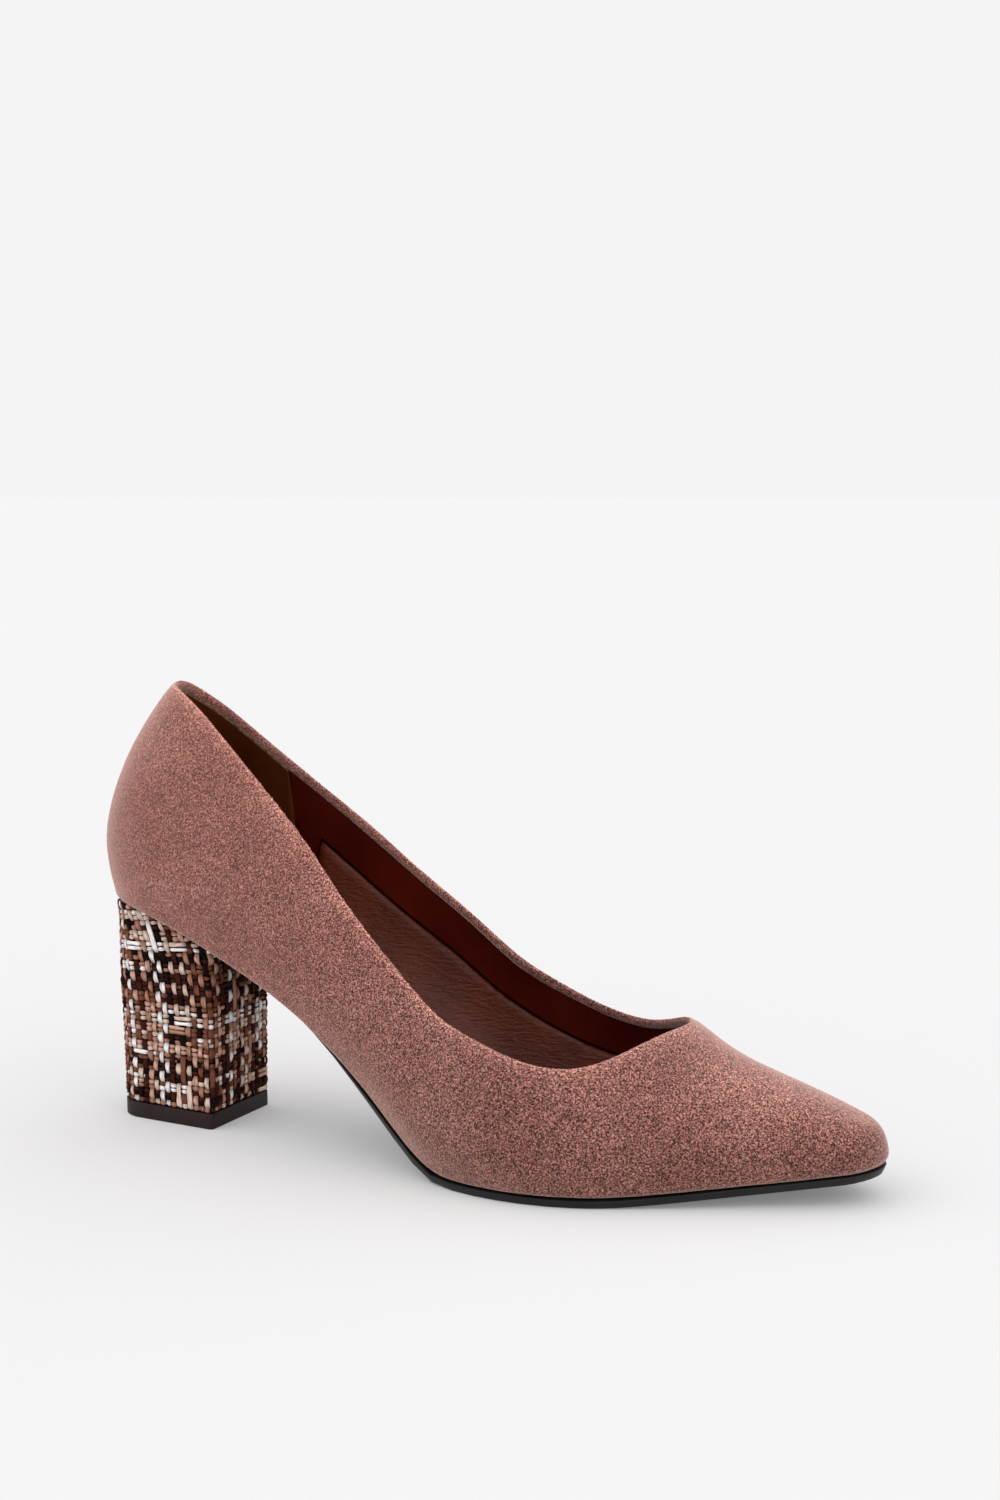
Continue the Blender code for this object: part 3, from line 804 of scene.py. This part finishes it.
weave = {
    "seed": 11,
    "warpCount": 60,
    "warpHalfWidth": 0.00102,
    "warpWidths": (0.88, 1.06),
    "warpSegments": 8,
    "warpStray": 0.00008,
    "warpEndStray": 0.00015,
    "warpTop": 0.075,
    "warpLength": 0.09,  # length of yarn that is dyed for a warp
    "warpKinds": (("white", "dark", "tan", "mixed"), (0.10, 0.24, 0.12, 0.54)),
    "chosenWarps": {38: "white", 44: "white", 46: "white"},  # seen in the photograph, outer side
    "rowPitch": 0.00295,
    "rows": "mdmmdmtmtwmdddmmwtmwmmtm",  # from the foot up: mixed, dark, tan or white
    "rowKinds": {"m": "mixed", "d": "dark", "t": "tan", "w": "white"},
    "strandHalfWidth": 0.00070,
    "strandWidths": (0.9, 1.08),
    "strandSegments": 6,
    "strandThin": 0.9,  # a strand's thickness beside a warp's
    "strandOffset": 0.00070,  # two strands lie side by side in each row
    "strandStray": 0.00005,
    "strandLength": 0.14,
    "strandInset": 0.0003,
    "stepsPerCrossing": 4,
    "halfThick": 0.00036,
    "swing": 0.00034,  # how far a yarn rides over and under the others
    "held": 0.05,  # share of the crossings where a yarn stays up and floats on
    "wander": 0.00022,  # yarns never run quite straight
    "wanderCount": 160.0,  # bends to a metre
    "slub": 0.35,  # and are thicker in places
    "slubCount": 450.0,
    "pinch": 0.16,  # thinner where another yarn presses on it
    "endShare": 0.7,  # width of a yarn's cut end
    "paintedDipShade": 0.06,  # painted shade: how dark a yarn is coloured where it dips between its neighbours
    "sunk": 0.00050,  # middle of the cloth under the block's outline
    "footHeight": 0.0050,
    "leanFrom": 0.030,  # above this height the warps lean back and the rows rise to the front
    "leanOver": 0.030,
    "leanShare": 0.143,
    "cornerShare": 0.72,  # the front corners, as a share of the way from the back to the breast
    "riseFrom": 0.014,
    "riseShare": 0.08,
    "riseMost": 1.2,
    "seamWidth": 0.0016,  # the cloth's two edges turn in where they meet at the breast
    "seamDepth": 0.0009,
    "footWidth": 0.0011,  # and its foot turns under
    "footDepth": 0.0007,
    "gatherPlace": (0.76, 0.005),  # small folds near the top of the front corners
    "gatherSize": (0.0045, 0.006),
    "gatherDepth": 0.0009,
    "gatherPitch": 0.0021,
    "gatherSlant": 0.9,
    "drawnIn": 0.0012,  # the cloth is drawn in under the counter at the back
    "drawnHeights": (0.040, 0.064),
    "drawnPlaces": (0.030, 0.018),
    "lapFrom": 0.006,  # where the block's top stands out the cloth laps up against the suede
    "lapReach": 0.0045,
    "lapFeel": (0.001, 0.0018),
    "lapUp": 0.0012,
    "lapOver": 0.0014,
    "lapUnder": 0.0001,
    "endUnder": 0.0005,  # elsewhere it ends under the suede
    "yarns": {
        "white": "f6f0ee",
        "cream": "dcc3b4",
        "pinkTan": "cda08d",
        "tan": "ab7c69",
        "brown": "784a39",
        "darkBrown": "3f1d15",
        "nearBlack": "1d0d0c",
    },
    "dyeing": {  # dyes, and the shortest and longest stretch of one
        "white": (["white", "white", "cream"], 0.02, 0.05),
        "dark": (["nearBlack", "darkBrown", "darkBrown", "brown"], 0.008, 0.03),
        "tan": (["tan", "pinkTan", "cream", "brown"], 0.008, 0.02),
        "mixed": (
            ["tan", "brown", "darkBrown", "pinkTan", "brown", "tan", "cream", "darkBrown", "pinkTan",
             "nearBlack", "white"],
            0.004,
            0.014,
        ),
    },
}


def makeYarnWool():
    # space-dyed boucle yarn, wool and polyester: dull, with fine fibres along it; painted shade darkens it
    # where it dips and at its sides
    look = yarnLook
    material, tree, shader = newMaterial("spaceDyedTweedYarn", look["evenValues"])
    dyeAndDipShade = addNode(tree, "ShaderNodeAttribute", attribute_name="yarnColour")
    place = addNode(tree, "ShaderNodeAttribute", attribute_name="yarnPlace")
    side = addNode(tree, "ShaderNodeAttribute", attribute_name="yarnSide")
    along = addNode(
        tree, "ShaderNodeMapping", {"Scale": look["fibreStretch"]}, {"Vector": place.outputs["Vector"]}
    )
    fibres = addNode(
        tree,
        "ShaderNodeTexNoise",
        {"Scale": scaleFor(look["fibreSize"]), "Detail": 2.0, "Distortion": 0.3},
        {"Vector": along.outputs["Vector"]},
    ).outputs["Fac"]
    colour = shadeBy(tree, dyeAndDipShade.outputs["Color"], (
        (fibres, look["fibreShades"], None),
        # painted shade at each yarn's sides
        (side.outputs["Fac"], look["paintedSideShades"], None),
    ))
    bump = addNode(tree, "ShaderNodeBump", look["relief"], {"Height": fibres})
    tree.links.new(colour, shader.inputs["Base Color"])
    tree.links.new(bump.outputs["Normal"], shader.inputs["Normal"])
    return material


class BlockSurface:
    # places on the heel's sides: by distance from the middle of its back round the block, and height

    def __init__(self, angleCount=360, planHeight=0.03):
        heel, upper = mergedCopy("heel"), mergedCopy("upper")
        self.block, self.suede = BVHTree.FromBMesh(heel), BVHTree.FromBMesh(upper)
        heel.free()
        upper.free()
        low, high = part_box("heel")
        self.axis = 0.5 * (low.x + high.x)
        self.planHeight = planHeight
        self.angles = [math.pi * k / angleCount for k in range(angleCount + 1)]  # pi at the breast
        self.arcs = [0.0]
        before = self.cast(0.0, 1, planHeight)
        for angle in self.angles[1:]:
            point = self.cast(angle, 1, planHeight)
            self.arcs.append(self.arcs[-1] + (point - before).length)
            before = point
        self.half = self.arcs[-1]

    def cast(self, angle, side, height, reach=0.05):
        # side 1 is the outer side of the foot
        direction = Vector((-math.cos(angle), -side * math.sin(angle), 0.0))
        start = Vector((self.axis, 0.0, height)) + reach * direction
        return self.block.ray_cast(start, -direction)[0]

    def angleAt(self, distance):
        distance = min(max(distance, 0.0), self.half - 1e-6)
        low = bisect.bisect_right(self.arcs, distance) - 1
        share = (distance - self.arcs[low]) / (self.arcs[low + 1] - self.arcs[low])
        return self.angles[low] + share * (self.angles[low + 1] - self.angles[low])

    def point(self, place, height):
        side = 1 if place >= 0 else -1
        return self.cast(self.angleAt(abs(place)), side, height)

    def outward(self, place, height, step=0.0005):
        ahead = self.point(min(place + step, self.half), height)
        behind = self.point(max(place - step, -self.half), height)
        run = ahead - behind
        return Vector((run.y, -run.x, 0.0)).normalized()

    def topAt(self, place, inset=0.04):
        edge = self.point(place, self.planHeight)
        inside = edge.lerp(Vector((self.axis, 0.0, edge.z)), inset)
        return self.block.ray_cast(inside, Vector((0, 0, 1)))[0].z

    def suedeBehind(self, surface, out):
        # the suede's face where it lies close behind a place
        hit = self.suede.ray_cast(surface + out * weave["lapFrom"], -out)[0]
        if hit is not None and -weave["lapReach"] < (hit - surface).dot(out) < 0.0:
            return hit

    def clothEnd(self, place):
        # over the block the cloth laps up against the suede, or ends under it where the suede stands out
        top = self.topAt(place)
        below, rise = weave["lapFeel"]
        surface = self.point(place, top - below) + Vector((0, 0, rise))
        laps = self.suedeBehind(surface, self.outward(place, top - below))
        return top + (weave["lapUp"] if laps else weave["endUnder"])

    def clothPlace(self, place, height, top):
        # a place on the outside of the cloth, and the direction outward
        low = min(height, top - 0.5 * weave["lapUp"])
        surface, out = self.point(place, low), self.outward(place, low)
        surface.z = height
        hit = self.suedeBehind(surface, out) if height > low else None
        if hit:
            lap = min(1.0, (height - low) / weave["lapOver"])
            surface = surface.lerp(hit + out * (weave["sunk"] - weave["lapUnder"]), lap)
        return surface, out


def clothToBlock(p, q):
    # where a place of the flat cloth lies on the block: the warps lean and the rows rise near the top
    away = abs(p)
    up = max(0.0, q - weave["leanFrom"]) / weave["leanOver"]
    corner = weave["cornerShare"] * block.half
    pull = away if away < corner else corner * (block.half - away) / (block.half - corner)
    lean = weave["leanShare"] * pull * up * up
    front = min(max(away - weave["riseFrom"], 0.0), corner - weave["riseFrom"])
    rise = weave["riseShare"] * front * min(up, weave["riseMost"])
    return math.copysign(away - lean, p), q + rise


def planWeave(rng):
    # 1 where the warp lies on top, -1 where the row does: a plain weave with some floats
    plan = {}
    for row in range(-2, len(weave["rows"]) + 4):
        for number in range(-2, weave["warpCount"] + 3):
            side = 1 if (row + number) % 2 == 0 else -1
            plan[row, number] = -side if rng.random() < weave["held"] else side
    return plan


def ease(share):
    return share * share * (3.0 - 2.0 * share)


def between(before, after, share):
    # a yarn's height on its way from one crossing to the next
    return before + (after - before) * ease(share)


def tuck(p, z, top):
    # how far the cloth is pressed in at its seam, its foot, the gathers and the back
    seam = max(0.0, 1.0 - (block.half - abs(p)) / weave["seamWidth"])
    foot = max(0.0, 1.0 - (z - weave["footHeight"]) / weave["footWidth"])
    (share, below), (wide, tall) = weave["gatherPlace"], weave["gatherSize"]
    near = math.exp(-((abs(p) - share * block.half) / wide) ** 2 - ((top - z - below) / tall) ** 2)
    fold = 0.5 + 0.5 * math.cos(math.pi * (z + weave["gatherSlant"] * abs(p)) / weave["gatherPitch"])
    (lowest, full), (furthest, whole) = weave["drawnHeights"], weave["drawnPlaces"]
    high = min(1.0, max(0.0, (z - lowest) / (full - lowest)))
    back = min(1.0, max(0.0, (furthest - abs(p)) / (furthest - whole)))
    pressed = weave["seamDepth"] * seam * seam + weave["footDepth"] * foot * foot
    return pressed + weave["gatherDepth"] * near * fold + weave["drawnIn"] * back * ease(high)


def dyeLengths(rng, kind, length):
    # colours along a yarn: each stretch with its end and dye
    names, least, most = weave["dyeing"][kind]
    stretches, reach = [], 0.0
    while reach < length:
        reach += rng.uniform(least, most)
        stretches.append((reach, fromHex(weave["yarns"][rng.choice(names)])))
    return stretches


def dyeAt(stretches, place):
    for reach, colour in stretches:
        if place < reach:
            return colour
    return stretches[-1][1]


def wanderAt(place, number, lane):
    return weave["wander"] * noise.noise(Vector((weave["wanderCount"] * place, number, lane)))


def layYarn(cloth, path, halfWidth, halfThick, stretches, number, start, segments):
    # each step of the path has its middle, its sideways and outward directions, and 1 over to -1 under
    steps = len(path) - 1
    yarn = bmesh.new()
    colourLayer = yarn.verts.layers.float_color.new("yarnColour")
    placeLayer = yarn.verts.layers.float_vector.new("yarnPlace")
    sideLayer = yarn.verts.layers.float.new("yarnSide")
    bmesh.ops.create_cone(
        yarn, cap_ends=True, cap_tris=False, segments=segments, radius1=1.0, radius2=1.0, depth=1.0
    )
    lengthwise = [edge for edge in yarn.edges if abs(edge.verts[0].co.z - edge.verts[1].co.z) > 0.5]
    bmesh.ops.subdivide_edges(yarn, edges=lengthwise, cuts=steps - 1)
    places = [start]
    for before, after in zip(path, path[1:]):
        places.append(places[-1] + (after[0] - before[0]).length)
    for vert in yarn.verts:
        step = min(steps, max(0, round((vert.co.z + 0.5) * steps)))
        middle, sideways, out, over = path[step]
        place = places[step]
        swell = 1.0 - weave["pinch"] * (1.0 - over)
        swell *= 1.0 + weave["slub"] * noise.noise(Vector((weave["slubCount"] * place, 3.7 * number, 0.5)))
        across, depth = vert.co.x * halfWidth * swell, vert.co.y * halfThick * swell
        narrow = weave["endShare"] if step in (0, steps) else 1.0
        # painted shade: the colour is darkened where the yarn dips under (over -1)
        shade = weave["paintedDipShade"] + (1.0 - weave["paintedDipShade"]) * (0.5 + 0.5 * over)
        vert[colourLayer] = (*(shade * channel for channel in dyeAt(stretches, place)[:3]), 1.0)
        vert[sideLayer] = abs(vert.co.x)
        vert[placeLayer] = Vector((across, place, 0.01 * number))
        vert.co = middle + sideways * (across * narrow) + out * (depth * narrow)
    bmesh.ops.recalc_face_normals(yarn, faces=yarn.faces[:])
    scratch = bpy.data.meshes.new("scratch")
    yarn.to_mesh(scratch)
    yarn.free()
    cloth.from_mesh(scratch)
    bpy.data.meshes.remove(scratch)


def layWarps(rng, plan):
    cloth = bmesh.new()
    pitch = 2.0 * block.half / weave["warpCount"]
    for number in range(weave["warpCount"]):
        p = -block.half + pitch * (number + 0.5) + rng.gauss(0.0, weave["warpStray"])
        kind = rng.choices(*weave["warpKinds"])[0]
        kind = weave["chosenWarps"].get(number, kind)
        stretches = dyeLengths(rng, kind, weave["warpLength"])
        path = []
        q = weave["footHeight"]
        while q < weave["warpTop"]:
            place, z = clothToBlock(p + wanderAt(q, 5.3 * number, 0.0), q)
            top = block.topAt(place)
            if z > block.clothEnd(place) + rng.gauss(0.0, weave["warpEndStray"]):
                break
            surface, out = block.clothPlace(place, z, top)
            row, share = divmod((q - weave["footHeight"]) / weave["rowPitch"], 1.0)
            over = between(plan[int(row), number], plan[int(row) + 1, number], share)
            depth = weave["swing"] * over - weave["sunk"] - tuck(p, z, top)
            path.append((surface + out * depth, out.cross(Vector((0, 0, 1))), out, over))
            q += weave["rowPitch"] / weave["stepsPerCrossing"]
        if len(path) > 2:
            width = weave["warpHalfWidth"] * rng.uniform(*weave["warpWidths"])
            layYarn(
                cloth, path, width, weave["halfThick"], stretches, number, 0.0, weave["warpSegments"]
            )
    return cloth


def strandRuns(q, row, plan, pitch):
    # the stretches of one strand that lie on the block, each with the step where it starts
    runs, path = [], []
    count = int(2.0 * block.half * weave["stepsPerCrossing"] / pitch)
    inset = weave["strandInset"]
    for k in range(count + 1):
        p = -block.half + inset + 2.0 * (block.half - inset) * k / count
        place, z = clothToBlock(p, q + wanderAt(p, 7.1 * row, 3.0))
        top = block.topAt(place)
        if z > block.clothEnd(place) - 0.0002:
            runs.append((k - len(path), path))
            path = []
            continue
        surface, out = block.clothPlace(place, z, top)
        number, share = divmod((p + block.half) / pitch - 0.5, 1.0)
        over = -between(plan[row, int(number)], plan[row, int(number) + 1], share)
        depth = weave["swing"] * over - weave["sunk"] - tuck(p, z, top)
        path.append((surface + out * depth, Vector((0, 0, 1)), out, over))
    runs.append((count + 1 - len(path), path))
    return [(first, path) for first, path in runs if len(path) > 3]


def layWefts(rng, plan):
    cloth = bmesh.new()
    pitch = 2.0 * block.half / weave["warpCount"]
    for row, letter in enumerate(weave["rows"]):
        for strand in (-1, 1):
            q = weave["footHeight"] + weave["rowPitch"] * row + strand * weave["strandOffset"]
            q += rng.gauss(0.0, weave["strandStray"])
            if q < weave["footHeight"] + weave["strandInset"]:
                continue
            stretches = dyeLengths(rng, weave["rowKinds"][letter], weave["strandLength"])
            width = weave["strandHalfWidth"] * rng.uniform(*weave["strandWidths"])
            thick = weave["strandThin"] * weave["halfThick"]
            for first, path in strandRuns(q, row, plan, pitch):
                start = pitch / weave["stepsPerCrossing"] * first
                layYarn(
                    cloth, path, width, thick, stretches, 2 * row + strand, start, weave["strandSegments"]
                )
    return cloth


def makeHeelCover():
    rng = random.Random(weave["seed"])
    core = mergedCopy("heel")
    core.normal_update()
    for vert in core.verts:
        vert.co -= coreValues["sunk"] * vert.normal
    makePiece("heelBlock", core, [makeTwoTone("paintedGapShadeBlock", coreValues["look"])], ["heel"])
    wool = makeYarnWool()
    plan = planWeave(rng)
    makePiece("tweedWarps", layWarps(rng, plan), [wool])
    makePiece("tweedWefts", layWefts(rng, plan), [wool])


block = BlockSurface()
makeHeelCover()
print("heel cover ready")
